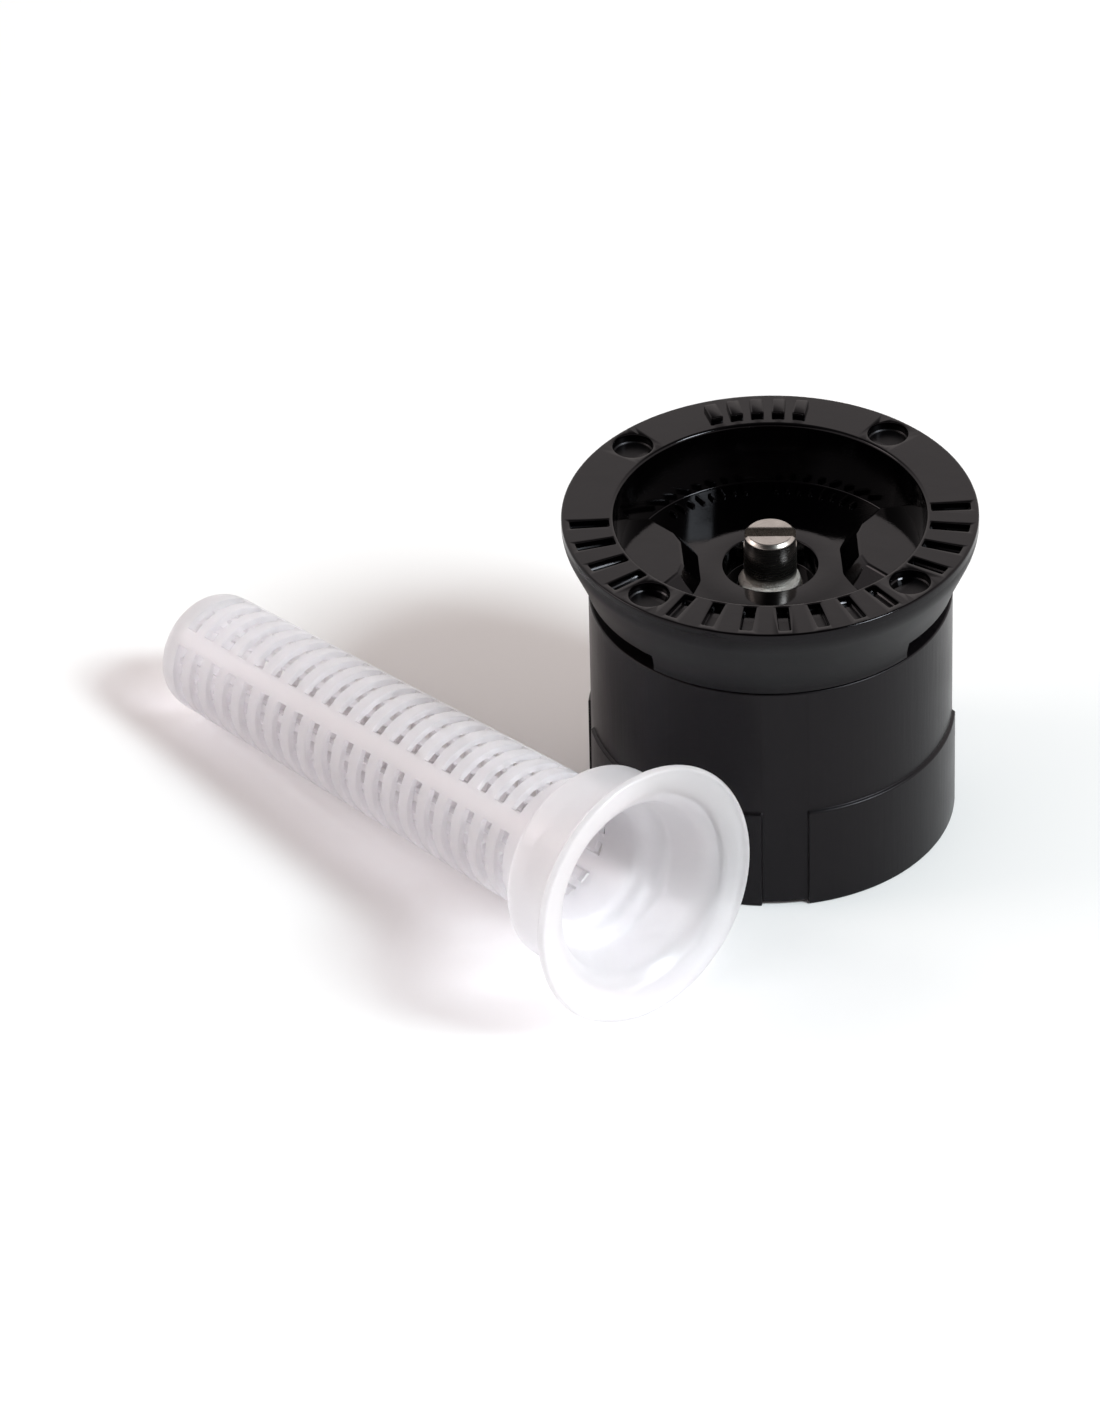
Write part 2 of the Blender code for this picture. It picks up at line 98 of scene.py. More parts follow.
# %% Outlines with soft corners
def rounded(corners, closed=True, steps=4):
    """The corners are (x, y, reach): the curve starts that far from the corner on each side."""
    points = []
    last = len(corners) - 1
    for i, (x, y, reach) in enumerate(corners):
        here = Vector((x, y))
        if reach == 0 or (not closed and i in (0, last)):
            points.append(here)
            continue
        back = Vector(corners[i - 1][:2]) - here
        ahead = Vector(corners[(i + 1) % len(corners)][:2]) - here
        start = here + back.normalized() * min(reach, back.length * 0.48)
        end = here + ahead.normalized() * min(reach, ahead.length * 0.48)
        for step in range(steps + 1):
            t = step / steps
            points.append(start * (1 - t) ** 2 + here * 2 * t * (1 - t) + end * t ** 2)
    return points


def circle(radius, count):
    turns = [math.tau * i / count for i in range(count)]
    return [Vector((radius * math.cos(a), radius * math.sin(a))) for a in turns]


def rectangle(width, length, corner, steps=3):
    half_w, half_l = width / 2, length / 2
    corners = [(half_w, half_l), (-half_w, half_l), (-half_w, -half_l), (half_w, -half_l)]
    return rounded([(x, y, corner) for x, y in corners], steps=steps)


print("a square with soft corners has", len(rectangle(1, 1, 0.1)), "points")

# %% Skins between rings of points
def skin(work, rings, loop=False, cap_start=False, cap_end=False):
    """Quads between rings that each run once round. loop also joins the last ring to the first."""
    rows = [[work.verts.new(point) for point in ring] for ring in rings]
    pairs = list(zip(rows, rows[1:] + rows[:1])) if loop else list(zip(rows, rows[1:]))
    for low, high in pairs:
        for i in range(len(low)):
            j = (i + 1) % len(low)
            work.faces.new((low[i], low[j], high[j], high[i]))
    if cap_start:
        work.faces.new(list(reversed(rows[0])))
    if cap_end:
        work.faces.new(rows[-1])


def spun(outline, angles):
    """A ring round the upright axis for each (radius, height) of an outline."""
    return [[(p[0] * math.cos(a), p[0] * math.sin(a), p[1]) for a in angles] for p in outline]


def even_angles(count):
    return [math.tau * i / count for i in range(count)]


def stack(work, levels, place=Matrix()):
    """A solid through level outlines of equal length, from the bottom up: (outline, height)."""
    rings = [[place @ Vector((p[0], p[1], height)) for p in outline] for outline, height in levels]
    skin(work, rings, cap_start=True, cap_end=True)


print("a full turn in four steps:", [round(math.degrees(a)) for a in even_angles(4)])

# %% [markdown]
# ## From a mesh to a piece
# Modelling happens in millimetres, which keeps the numbers readable. `as_object` shrinks the mesh
# to metres and shades it: faces that meet at a low angle look like one curved surface, and a
# sharper edge stays crisp. `settle` bakes the Boolean modifiers in and clears the cutters away.
# A Weighted Normal modifier lets the large flat faces lead the shading. Without it the long thin
# faces that a Boolean leaves beside a small feature would show as streaks in the gloss.

# %% Objects, cutters and finished pieces
CRISP = math.radians(34)


def as_object(name, work):
    bmesh.ops.recalc_face_normals(work, faces=work.faces)
    bmesh.ops.scale(work, verts=work.verts, vec=(MM, MM, MM))
    mesh = bpy.data.meshes.new(name)
    work.to_mesh(mesh)
    work.free()
    made = bpy.data.objects.new(name, mesh)
    bpy.context.scene.collection.objects.link(made)
    return made


def settle(target, steps):
    """Apply a list of (operation, cutter) to the target and remove the cutters."""
    for operation, tool in steps:
        cut = target.modifiers.new(tool.name, "BOOLEAN")
        cut.operation = operation
        cut.object = tool
        cut.solver = "EXACT"
    shapes = bpy.context.evaluated_depsgraph_get()
    mesh = bpy.data.meshes.new_from_object(target.evaluated_get(shapes))
    target.modifiers.clear()
    target.data = mesh
    for _, tool in steps:
        bpy.data.objects.remove(tool)


def finished(piece, place, look, body, node):
    """Put a piece in its place, give it its finish and let it stand for its CAD node."""
    piece.data.transform(place.to_3x3().to_4x4())
    piece.matrix_world = Matrix.Translation(place.translation)
    piece.data.materials.clear()
    piece.data.materials.append(look)
    piece.data.shade_smooth()
    piece.data.set_sharp_from_angle(angle=CRISP)
    flats = piece.modifiers.new("flat_faces_lead", "WEIGHTED_NORMAL")
    flats.keep_sharp = True
    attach(piece, body)
    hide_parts(node)
    print(f"{piece.name}: {len(piece.data.polygons)} faces")


print("edges sharper than", round(math.degrees(CRISP)), "degrees stay crisp")

# %% [markdown]
# ## A small language for shader nodes
# A finish is a graph of nodes. Written out link by link it is hard to read, so a `Wire` stands
# for one socket and takes part in sums: `1 - mask * 0.2` adds the Math nodes by itself. A
# `Finish` owns the node tree of one material, or of the world, and its `node` method makes any
# node from its settings and inputs.

# %% Wires and finishes
class Wire:
    """The output of a node, for use in sums."""

    def __init__(self, finish, socket):
        self.finish = finish
        self.socket = socket

    def maths(self, operation, first, second):
        return self.finish.node("ShaderNodeMath", {"operation": operation}, {0: first, 1: second})

    def __add__(self, other):
        return self.maths("ADD", self, other)

    def __sub__(self, other):
        return self.maths("SUBTRACT", self, other)

    def __rsub__(self, other):
        return self.maths("SUBTRACT", other, self)

    def __mul__(self, other):
        return self.maths("MULTIPLY", self, other)

    __radd__ = __add__
    __rmul__ = __mul__


class Finish:
    """A material, or another owner of a node tree, with its nodes."""

    def __init__(self, name, owner=None):
        self.owner = owner or bpy.data.materials.new(name)
        self.owner.use_nodes = True
        self.tree = self.owner.node_tree
        self.tree.nodes.clear()

    def node(self, kind, settings=None, inputs=None, out=0):
        """Make a node: the settings first, then the values or wires of its sockets."""
        made = self.tree.nodes.new(kind)
        for key, value in (settings or {}).items():
            if key == "stops":
                ramp = made.color_ramp.elements
                while len(ramp) < len(value):
                    ramp.new(1.0)
                for stop, (place, shade) in zip(ramp, value):
                    stop.position = place
                    stop.color = (*(shade if isinstance(shade, tuple) else (shade,) * 3), 1.0)
            else:
                setattr(made, key, value)
        for key, value in (inputs or {}).items():
            if isinstance(value, Wire):
                self.tree.links.new(value.socket, made.inputs[key])
            else:
                made.inputs[key].default_value = value
        return Wire(self, made.outputs[out]) if made.outputs else None

    def place_mm(self):
        """The point on the piece, in millimetres from its own origin."""
        point = self.node("ShaderNodeTexCoord", out="Object")
        return self.node("ShaderNodeVectorMath", {"operation": "SCALE"},
                         {0: point, "Scale": 1 / MM})

    def height(self, place):
        """The upright part of a place or a direction."""
        return self.node("ShaderNodeSeparateXYZ", None, {"Vector": place}, out="Z")

    def radius(self, place):
        """The distance from the piece's upright axis."""
        flat = self.node("ShaderNodeVectorMath", {"operation": "MULTIPLY"},
                         {0: place, 1: (1.0, 1.0, 0.0)})
        return self.node("ShaderNodeVectorMath", {"operation": "LENGTH"}, {0: flat}, out="Value")

    def noise(self, place, scale, detail=2.0, roughness=0.5):
        return self.node("ShaderNodeTexNoise", None,
                         {"Vector": place, "Scale": scale, "Detail": detail,
                          "Roughness": roughness}, out="Fac")

    def mask(self, value, low, high):
        """0 up to low, 1 from high, and even in between."""
        return self.node("ShaderNodeMapRange", None,
                         {"Value": value, "From Min": low, "From Max": high})

    def ramp(self, value, *stops):
        """A value run through stops of (position, shade); a shade is a grey or (r, g, b)."""
        return self.node("ShaderNodeValToRGB", {"stops": stops}, {"Fac": value}, out="Color")

    def blend(self, share, first, second):
        """A colour between two, each (r, g, b)."""
        return self.node("ShaderNodeMix", {"data_type": "RGBA"},
                         {"Factor": share, 6: (*first, 1.0), 7: (*second, 1.0)}, out=2)

    def relief(self, height, distance, strength=1.0, under=None):
        inputs = {"Height": height, "Distance": distance * MM, "Strength": strength}
        if under is not None:
            inputs["Normal"] = under
        return self.node("ShaderNodeBump", None, inputs, out="Normal")

    def plastic(self, inputs):
        """Close the tree with a Principled shader and hand over the material."""
        return self.close(self.node("ShaderNodeBsdfPrincipled", None, inputs))

    def close(self, shader, output="ShaderNodeOutputMaterial"):
        self.node(output, None, {"Surface": shader})
        return self.owner


print("wires take part in sums with +, - and *")

# %% [markdown]
# ## Finishes
# The nozzle is one black plastic, but the mould leaves it with two looks: the cap comes from a
# polished cavity and is glossy, the skirt is satin. Black plastic is mostly a matter of gloss,
# so each finish varies its roughness a little and carries a very low relief, which breaks up
# the reflections the way a real moulding does. The cap's polish is best on the bowl's floor and
# stops at the flange's edge: the neck below it is nearly as dull as the skirt.

# %% Glossy black for the cap
def glossy_black():
    finish = Finish("glossy_black_plastic")
    place = finish.place_mm()
    cloud = finish.noise(place, 0.35, detail=3.0)
    grain = finish.noise(place, 9.0, detail=2.0)
    dust = finish.mask(finish.noise(place, 6.5, detail=1.0), 0.70, 0.78)
    flow = finish.relief(cloud, 0.03, 0.3)
    radius = finish.radius(place)
    off_floor = finish.mask(radius, 8.95, 9.10)
    outside = finish.mask(radius, 10.40, 10.80)
    below_edge = finish.mask(TOP - finish.height(place), 0.25, 0.60) * outside
    return finish.plastic({
        "Base Color": finish.blend(dust * 0.25, (0.0004, 0.0003, 0.0004), (0.010, 0.009, 0.009)),
        "Roughness": off_floor * (below_edge * 0.32 + 0.04) + cloud * 0.05 + grain * 0.03 + 0.03,
        "Specular IOR Level": 0.20,
        "Specular Tint": (0.96, 0.93, 1.0, 1.0),
        "Normal": finish.relief(grain, 0.003, 0.5, under=flow),
    })


GLOSSY_BLACK = glossy_black()
print("finish:", GLOSSY_BLACK.name)

# %% Satin black for the skirt
def satin_black():
    finish = Finish("satin_black_plastic")
    place = finish.place_mm()
    cloud = finish.noise(place, 0.30, detail=3.0)
    grain = finish.noise(place, 14.0, detail=3.0)
    upright = finish.node("ShaderNodeVectorMath", {"operation": "MULTIPLY"},
                          {0: place, 1: (1.0, 1.0, 0.06)})
    drawn = finish.noise(upright, 3.0, detail=2.0)
    flow = finish.relief(drawn, 0.02, 0.4)
    return finish.plastic({
        "Base Color": finish.blend(cloud, (0.0022, 0.0018, 0.0022), (0.0036, 0.0030, 0.0036)),
        "Roughness": cloud * 0.12 + grain * 0.08 + 0.22,
        "Specular IOR Level": 0.18,
        "Specular Tint": (0.98, 0.94, 1.0, 1.0),
        "Normal": finish.relief(grain, 0.006, 0.6, under=flow),
    })


SATIN_BLACK = satin_black()
print("finish:", SATIN_BLACK.name)

# %% [markdown]
# The screw is turned from stainless bar. Its flat end shows fine rings from the facing tool, its
# side shows tighter ones, and its thread is torn and dull where the die cut it. The thread's colour
# is also painted lighter, a painted highlight for the sparkle of its torn crests.

# %% Turned stainless steel
RINGS_PER_MM = 14.0
THREAD_LOOK_DROP = 3.90


def turned_steel():
    finish = Finish("turned_stainless_steel")
    place = finish.place_mm()
    height = finish.height(place)
    across = finish.node("ShaderNodeCombineXYZ", None, {
        "X": finish.radius(place) * RINGS_PER_MM, "Y": height * RINGS_PER_MM})
    rings = finish.noise(across, 1.0, detail=3.0)
    torn = finish.noise(place, 4.5, detail=4.0, roughness=0.75)
    torn_thread_and_painted_glint = finish.mask(TOP - height, THREAD_LOOK_DROP, THREAD_LOOK_DROP + 0.50)
    tone = finish.noise(place, 1.3, detail=2.0)
    fine = finish.relief(rings, 0.010, 0.5)
    return finish.plastic({
        # The thread is painted lighter here: a painted highlight for its sparkle, over the real torn
        # surface.
        "Base Color": finish.blend(tone * 0.5 + torn_thread_and_painted_glint * 0.5, (0.31, 0.285, 0.265),
                                   (0.62, 0.60, 0.57)),
        "Metallic": 1.0,
        "Roughness": rings * 0.12 + torn_thread_and_painted_glint * (torn * 0.30 + 0.05) + 0.22,
        "Normal": finish.relief(torn * torn_thread_and_painted_glint, 0.22, 1.0, under=fine),
    })


STEEL = turned_steel()
print("finish:", STEEL.name)

# %% [markdown]
# The screen is unpigmented polyethylene. Light goes into it, wanders and comes out again, so it
# looks milky and takes on the colour of what stands behind it. Transmission with a rough
# surface gives the blurred view through the wall, and subsurface gives the soft body colour.
# Lamps can't be followed through it at a fair cost, so a mix lets part of their light straight
# on through each surface. That lights the far walls and keeps the shadow on the floor pale.

# %% Milky plastic for the screen
def milky_plastic():
    finish = Finish("milky_polyethylene")
    place = finish.place_mm()
    cloud = finish.noise(place, 0.45, detail=3.0)
    grain = finish.noise(place, 5.0, detail=3.0)
    flow = finish.relief(cloud, 0.05, 0.3)
    milk = finish.node("ShaderNodeBsdfPrincipled", None, {
        "Base Color": finish.blend(cloud, (0.895, 0.876, 0.902), (0.945, 0.930, 0.950)),
        "Roughness": cloud * 0.10 + grain * 0.05 + 0.24,
        "IOR": 1.50,
        "Transmission Weight": 0.60,
        "Subsurface Weight": 1.0,
        "Subsurface Radius": (1.0, 1.0, 1.0),
        "Subsurface Scale": 3.0 * MM,
        "Normal": finish.relief(grain, 0.003, 0.4, under=flow),
    })
    clear = finish.node("ShaderNodeBsdfTransparent", None, {"Color": (0.61, 0.585, 0.60, 1.0)})
    from_lamp = finish.node("ShaderNodeLightPath", out="Is Shadow Ray")
    return finish.close(finish.node("ShaderNodeMixShader", None, {0: from_lamp, 1: milk, 2: clear}))


MILKY = milky_plastic()
print("finish:", MILKY.name)

# %% [markdown]
# The plug is hidden in the skirt. A grey moulding with a matt, finely grained surface suits it.

# %% Matt grey for the throttle plug
def matt_grey():
    finish = Finish("matt_grey_plastic")
    place = finish.place_mm()
    grain = finish.noise(place, 8.0, detail=3.0)
    cloud = finish.noise(place, 0.8, detail=2.0)
    return finish.plastic({
        "Base Color": finish.blend(cloud, (0.135, 0.135, 0.145), (0.185, 0.185, 0.195)),
        "Roughness": grain * 0.20 + 0.38,
        "Normal": finish.relief(grain, 0.02, 0.6),
    })


GREY = matt_grey()
print("finish:", GREY.name)

# %% [markdown]
# ## Nozzle body
# The skirt is a plain tube outside, with four grip pads that stand 0.2 mm proud near its rim. The
# gaps between the pads could be cut with Booleans, but then their edges would stay knife sharp.
# Here the rings have extra points at each gap, and a smooth step sinks the pad and lifts the rim
# there. Inside runs the thread that screws onto the riser, 28 turns to the inch.

# %% Sizes of the body
SKIRT_R = 11.13
PAD_R = 11.33
SEAM_DROP = 5.47
SEAM_GAP = 0.10
PAD_TOP_DROP = 14.53
SOCKET_R = 9.50
SEAT_DROP = 11.00
CHAMBER_R = 7.40
SPIGOT_R = 10.00
SPIGOT_LENGTH = 2.80
FIT_GAP = 0.30
GAP_HALF = math.radians(7.25)
GAP_LIFT = 0.25
GAP_FLANK = math.radians(0.30)
FLANK_STEPS = (-1.4, -0.9, -0.45, 0.0, 0.45, 0.9, 1.4)
THREAD_PITCH = 25.4 / 28
THREAD_HEIGHT = 0.38
THREAD_MARGIN = 0.90
THREAD_FADE = 0.80
RINGS_PER_TURN = 9
BODY_STEPS = 160


def smooth_step(value, low, high):
    t = min(max((value - low) / (high - low), 0.0), 1.0)
    return t * t * (3 - 2 * t)


def tooth(turns):
    """Height of a thread, 0 to 1, after so many turns."""
    part = turns % 1.0
    return min(max((1 - abs(2 * part - 1)) * 1.5 - 0.25, 0.0), 1.0)


def gap_share(angle):
    """1 in the middle of a gap between two pads, 0 on a pad."""
    quarter = math.tau / 4
    away = abs((angle + quarter / 2) % quarter - quarter / 2)
    return 1 - smooth_step(away, GAP_HALF - GAP_FLANK, GAP_HALF + GAP_FLANK)


print("thread pitch", round(THREAD_PITCH, 3), "mm")

# %% Model the body
def body_angles():
    """Even steps, and a fine set of points across each flank of each gap."""
    angles = {round(a, 6) for a in even_angles(BODY_STEPS)}
    for quarter in range(4):
        for side in (-1, 1):
            flank = quarter * math.tau / 4 + side * GAP_HALF
            for step in FLANK_STEPS:
                angles.add(round((flank + step * GAP_FLANK) % math.tau, 6))
    kept = []
    for angle in sorted(angles):
        if not kept or angle - kept[-1] > GAP_FLANK * 0.3:
            kept.append(angle)
    return kept


def body_outline():
    top = TOP - SEAM_DROP - SEAM_GAP
    pocket = TOP - SEAM_DROP - SPIGOT_LENGTH - FIT_GAP
    pad_top = TOP - PAD_TOP_DROP
    seat = TOP - SEAT_DROP
    bore = SPIGOT_R + SEAM_GAP
    return rounded([
        (SKIRT_R, top, 0.12), (SKIRT_R, pad_top + 0.10, 0.05), (PAD_R, pad_top, 0.09),
        (PAD_R, 0.0, 0.14), (SOCKET_R + 0.40, 0.0, 0.10), (SOCKET_R, 0.40, 0.10),
        (SOCKET_R, seat, 0.15), (CHAMBER_R, seat, 0.20), (CHAMBER_R, pocket, 0.15),
        (bore, pocket, 0.10), (bore, top, 0.10)])


def body_point(radius, height, angle):
    gap = gap_share(angle)
    if radius > SKIRT_R:
        radius += (SKIRT_R - radius) * gap
    height = max(height, GAP_LIFT * gap) if height < GAP_LIFT else height
    return radius * math.cos(angle), radius * math.sin(angle), height


def thread_rows(low, high, step):
    """Heights between low and high, for the threaded wall."""
    count = int((high - low) / step)
    return [low + (high - low) * (i + 1) / (count + 1) for i in range(count)]


def make_body():
    work = bmesh.new()
    angles = body_angles()
    outline = [(p.x, p.y) for p in body_outline()]
    low, high = THREAD_MARGIN, TOP - SEAT_DROP - THREAD_MARGIN
    at = max(i for i, p in enumerate(outline) if abs(p[0] - SOCKET_R) < 1e-6 and p[1] < low)
    below, above = outline[:at + 1], outline[at + 1:]
    rings = [[body_point(r, z, a) for a in angles] for r, z in below]
    for z in thread_rows(low, high, THREAD_PITCH / RINGS_PER_TURN):
        fade = smooth_step(z, low, low + THREAD_FADE) * (1 - smooth_step(z, high - THREAD_FADE, high))
        ring = []
        for a in angles:
            rise = tooth(z / THREAD_PITCH - a / math.tau) * THREAD_HEIGHT * fade
            ring.append(((SOCKET_R - rise) * math.cos(a), (SOCKET_R - rise) * math.sin(a), z))
        rings.append(ring)
    rings += [[body_point(r, z, a) for a in angles] for r, z in above]
    skin(work, rings, loop=True)
    body = as_object("skirt_shell", work)
    finished(body, NOZZLE_PLACE, SATIN_BLACK, "nozzle", "nozzle_body")


make_body()

# %% [markdown]
# ## Deflector cap
# The cap is a flanged bowl. Two raised roofs on its floor cover the channels that carry water to
# the two side windows. Ticks and four round dimples mark the flange. The bowl itself is turned;
# the rest are separate solids, most with their own softened edges, that Booleans add or take away.
# Softening every tool first is safer than one Bevel at the end, which fails at tiny edges.
# `PAST` is how far a cutter reaches beyond the surface it cuts, and `SOFT` the size of an edge.

# %% Sizes of the cap
FLANGE_R = 12.70
FLANGE_THICK = 1.00
NECK_LOW = 0.50
NECK_HIGH = 1.60
NECK_FLARE = 0.30
BOWL_MOUTH_R = 9.54
BOWL_FLOOR_R = 8.96
BOWL_DEPTH = 3.90
FLOOR_CROWN = 0.12
CROWN_R = 5.40
SPIGOT_WALL = 1.30
BOSS_R = 4.00
BOSS_END_DROP = 13.00
COUNTERBORE_R = 2.90
COUNTERBORE_DROP = 5.50
THREAD_HOLE_R = 2.03
THREAD_HOLE_END_DROP = 8.20
KEYWAY_SIDE = 4.50
TICK_SIZE = (0.75, 2.40)
TICK_DEPTH = 0.45
TICK_STEP = math.radians(11.1)
TICK_MID_R = 11.00
TICKS_PER_SIDE = 8
NO_TICK_AT = 4
DIMPLE_R = 1.25
DIMPLE_DEPTH = 0.60
DIMPLE_MID_R = 11.10
DIMPLE_PLACES = (45, 135, 225, 315)
WINDOW_HALF = math.radians(46.5)
WINDOW_HEIGHT = 1.15
WINDOW_INNER_R = 6.40
ROOF_FOOT = ((4.30, 1.30), (4.85, 2.60), (6.60, 4.60), (9.60, 4.60))
ROOF_TOP = ((5.40, 1.20), (5.70, 2.10), (7.10, 3.75), (9.60, 3.90))
ROOF_TOP_DROP = 2.60
ROOF_THICK = 0.80
ROOF_EDGE = 0.16
CHANNEL = ((5.20, 1.00), (8.30, 3.20))
MARK_SIZE = (0.80, 1.50)
MARK_MID_R = 11.10
MARK_STEP = math.radians(7.0)
DASH_WIDTH = 0.26
DASH_LENGTHS = (0.95, 0.60)
DASH_HEIGHT = 0.20
DASH_START_R = 7.90
DASH_FIRST = math.radians(7.0)
DASH_STEP = math.radians(5.2)
DASHES_PER_SIDE = 8
CAP_STEPS = 192
PAST = 0.5
SOFT = 0.07


def around(angle, radius):
    """A place in the bowl or on the flange: angle 0 is the front and + runs to the right."""
    return Matrix.Rotation(angle, 4, "Z") @ Matrix.Translation((0.0, -radius, 0.0))


def cap_outline():
    seam = TOP - SEAM_DROP
    floor = TOP - BOWL_DEPTH
    end = TOP - BOSS_END_DROP
    counter = TOP - COUNTERBORE_DROP
    spigot_end = seam - SPIGOT_LENGTH
    inside = SPIGOT_R - SPIGOT_WALL
    return rounded([
        (FLANGE_R, TOP, 0.14), (FLANGE_R, TOP - FLANGE_THICK, 0.60),
        (SKIRT_R + NECK_FLARE, seam + NECK_HIGH, 1.00), (SKIRT_R, seam + NECK_LOW, 0.45),
        (SKIRT_R, seam, 0.06),
        (SPIGOT_R, seam, 0.05), (SPIGOT_R, spigot_end, 0.15), (inside, spigot_end, 0.15),
        (inside, seam, 0.15), (BOSS_R, seam, 0.20), (BOSS_R, end, 0.15), (THREAD_HOLE_R, end, 0.05),
        (THREAD_HOLE_R, counter, 0.05), (COUNTERBORE_R, counter, 0.10),
        (COUNTERBORE_R, floor + FLOOR_CROWN, 0.10), (CROWN_R, floor, 0.80),
        (BOWL_FLOOR_R, floor, 0.10), (BOWL_MOUTH_R, TOP, 0.20)])


print("cap outline:", len(cap_outline()), "points")

# %% Tools that shape the cap
def wrapped(clouds):
    """A solid stretched over each cloud of points, with its edges softened."""
    work = bmesh.new()
    for cloud in clouds:
        corners = [work.verts.new(point) for point in cloud]
        bmesh.ops.convex_hull(work, input=corners)
    bmesh.ops.dissolve_limit(work, angle_limit=math.radians(1), verts=work.verts, edges=work.edges)
    bmesh.ops.bevel(work, geom=work.edges, offset=ROOF_EDGE, segments=4, profile=0.5, affect="EDGES")
    return work


def roof_cloud(side):
    """The sides slope from the top's outline through the foot's, and on into the floor."""
    below = PAST / (BOWL_DEPTH - ROOF_TOP_DROP)
    root = [(x + (x - top_x) * below, y + (y - top_y) * below)
            for (x, y), (top_x, top_y) in zip(ROOF_FOOT, ROOF_TOP)]
    levels = ((root, TOP - BOWL_DEPTH - PAST), (ROOF_TOP, TOP - ROOF_TOP_DROP))
    return [(side * x, way * y, z) for outline, z in levels for x, y in outline for way in (1, -1)]


def channel_cloud(side):
    low, high = TOP - SEAM_DROP - PAST, TOP - ROOF_TOP_DROP - ROOF_THICK
    return [(side * x, way * y, z) for x, y in CHANNEL for way in (1, -1) for z in (low, high)]


def cut_levels(outline, depth, top):
    """Levels of a pocket whose mouth flares a little; outline(grow) is its shape."""
    return [(outline(-SOFT), top - depth), (outline(0.0), top - depth + SOFT),
            (outline(0.0), top - SOFT), (outline(SOFT * 0.3), top - SOFT * 0.3),
            (outline(SOFT), top), (outline(SOFT + PAST), top + PAST)]


def raised_levels(outline, height, base):
    """Levels of a block whose top edge is softened."""
    return [(outline(0.0), base - PAST), (outline(0.0), base + height - SOFT),
            (outline(-SOFT * 0.3), base + height - SOFT * 0.3), (outline(-SOFT), base + height)]


def bar(width, length):
    return lambda grow: rectangle(width + 2 * grow, length + 2 * grow, 0.10 + max(grow, 0.0))


def disc(radius):
    return lambda grow: circle(radius + grow, 48)


def window_outline(middle, count=40):
    spread = [middle + WINDOW_HALF * (2 * i / count - 1) for i in range(count + 1)]
    far = [(FLANGE_R * math.cos(a), FLANGE_R * math.sin(a)) for a in spread]
    near = [(WINDOW_INNER_R * math.cos(a), WINDOW_INNER_R * math.sin(a)) for a in reversed(spread)]
    return far + near


def pockets():
    """Everything that is cut into the cap apart from the windows."""
    work = bmesh.new()
    for n in range(-TICKS_PER_SIDE, TICKS_PER_SIDE + 1):
        if abs(n) != NO_TICK_AT:
            stack(work, cut_levels(bar(*TICK_SIZE), TICK_DEPTH, TOP), around(n * TICK_STEP, TICK_MID_R))
    for degrees in DIMPLE_PLACES:
        stack(work, cut_levels(disc(DIMPLE_R), DIMPLE_DEPTH, TOP),
              around(math.radians(degrees), DIMPLE_MID_R))
    low, high = TOP - BOSS_END_DROP - PAST, TOP - THREAD_HOLE_END_DROP
    side = rectangle(KEYWAY_SIDE, KEYWAY_SIDE, 0.20)
    stack(work, [(side, low), (side, high)])
    return as_object("pockets", work)


def dashes():
    """Plain raised bars: five on the back of the flange, two short rings of them in the bowl."""
    work = bmesh.new()
    for i in range(-2, 3):
        stack(work, raised_levels(bar(*MARK_SIZE), MARK_HEIGHT, TOP),
              around(math.pi + i * MARK_STEP, MARK_MID_R))
    for side in (-1, 1):
        for i in range(DASHES_PER_SIDE):
            length = DASH_LENGTHS[i % 2]
            stack(work, raised_levels(bar(DASH_WIDTH, length), DASH_HEIGHT, TOP - BOWL_DEPTH),
                  around(math.pi + side * (DASH_FIRST + DASH_STEP * i), DASH_START_R + length / 4))
    return as_object("dashes", work)


print("ticks on the flange:", 2 * TICKS_PER_SIDE - 1)

# %% Model the cap
def make_cap():
    work = bmesh.new()
    skin(work, spun(cap_outline(), even_angles(CAP_STEPS)), loop=True)
    cap = as_object("bowl_and_flange", work)
    windows = bmesh.new()
    seam = TOP - SEAM_DROP
    for middle in (0.0, math.pi):
        outline = window_outline(middle)
        stack(windows, [(outline, seam - 0.02), (outline, seam + WINDOW_HEIGHT)])
    settle(cap, [
        ("UNION", as_object("roofs", wrapped([roof_cloud(1), roof_cloud(-1)]))),
        ("DIFFERENCE", as_object("channels", wrapped([channel_cloud(1), channel_cloud(-1)]))),
        ("DIFFERENCE", as_object("windows", windows)),
        ("DIFFERENCE", pockets()),
        ("UNION", dashes())])
    finished(cap, NOZZLE_PLACE, GLOSSY_BLACK, "nozzle", "deflector_cap")


make_cap()

# %% [markdown]
# ## Adjusting screw and throttle plug
# Turning the slotted screw drives the plug up or down and sets how far the water reaches. Its
# thread is a true helix: every ring has the same number of points, and the radius follows the
# height of the thread at that angle. The slot is milled, and its edges are softened by a little.

# %% Sizes of the screw
TIP_DROP = 1.40
PLAIN_R = 1.62
SCREW_THREAD_R = 1.96
SCREW_PITCH = 0.70
THREAD_START_DROP = 4.45
THREAD_END_DROP = 8.90
JOURNAL_R = 1.25
JOURNAL_END_DROP = 12.60
SLOT_WIDTH = 0.85
SLOT_DEPTH = 0.90
SLOT_TURN = math.radians(-4.0)
RUN_OUT = 0.30
TIP_CHAMFER = 0.22
THREAD_ROOT = 0.06
SCREW_STEPS = 72


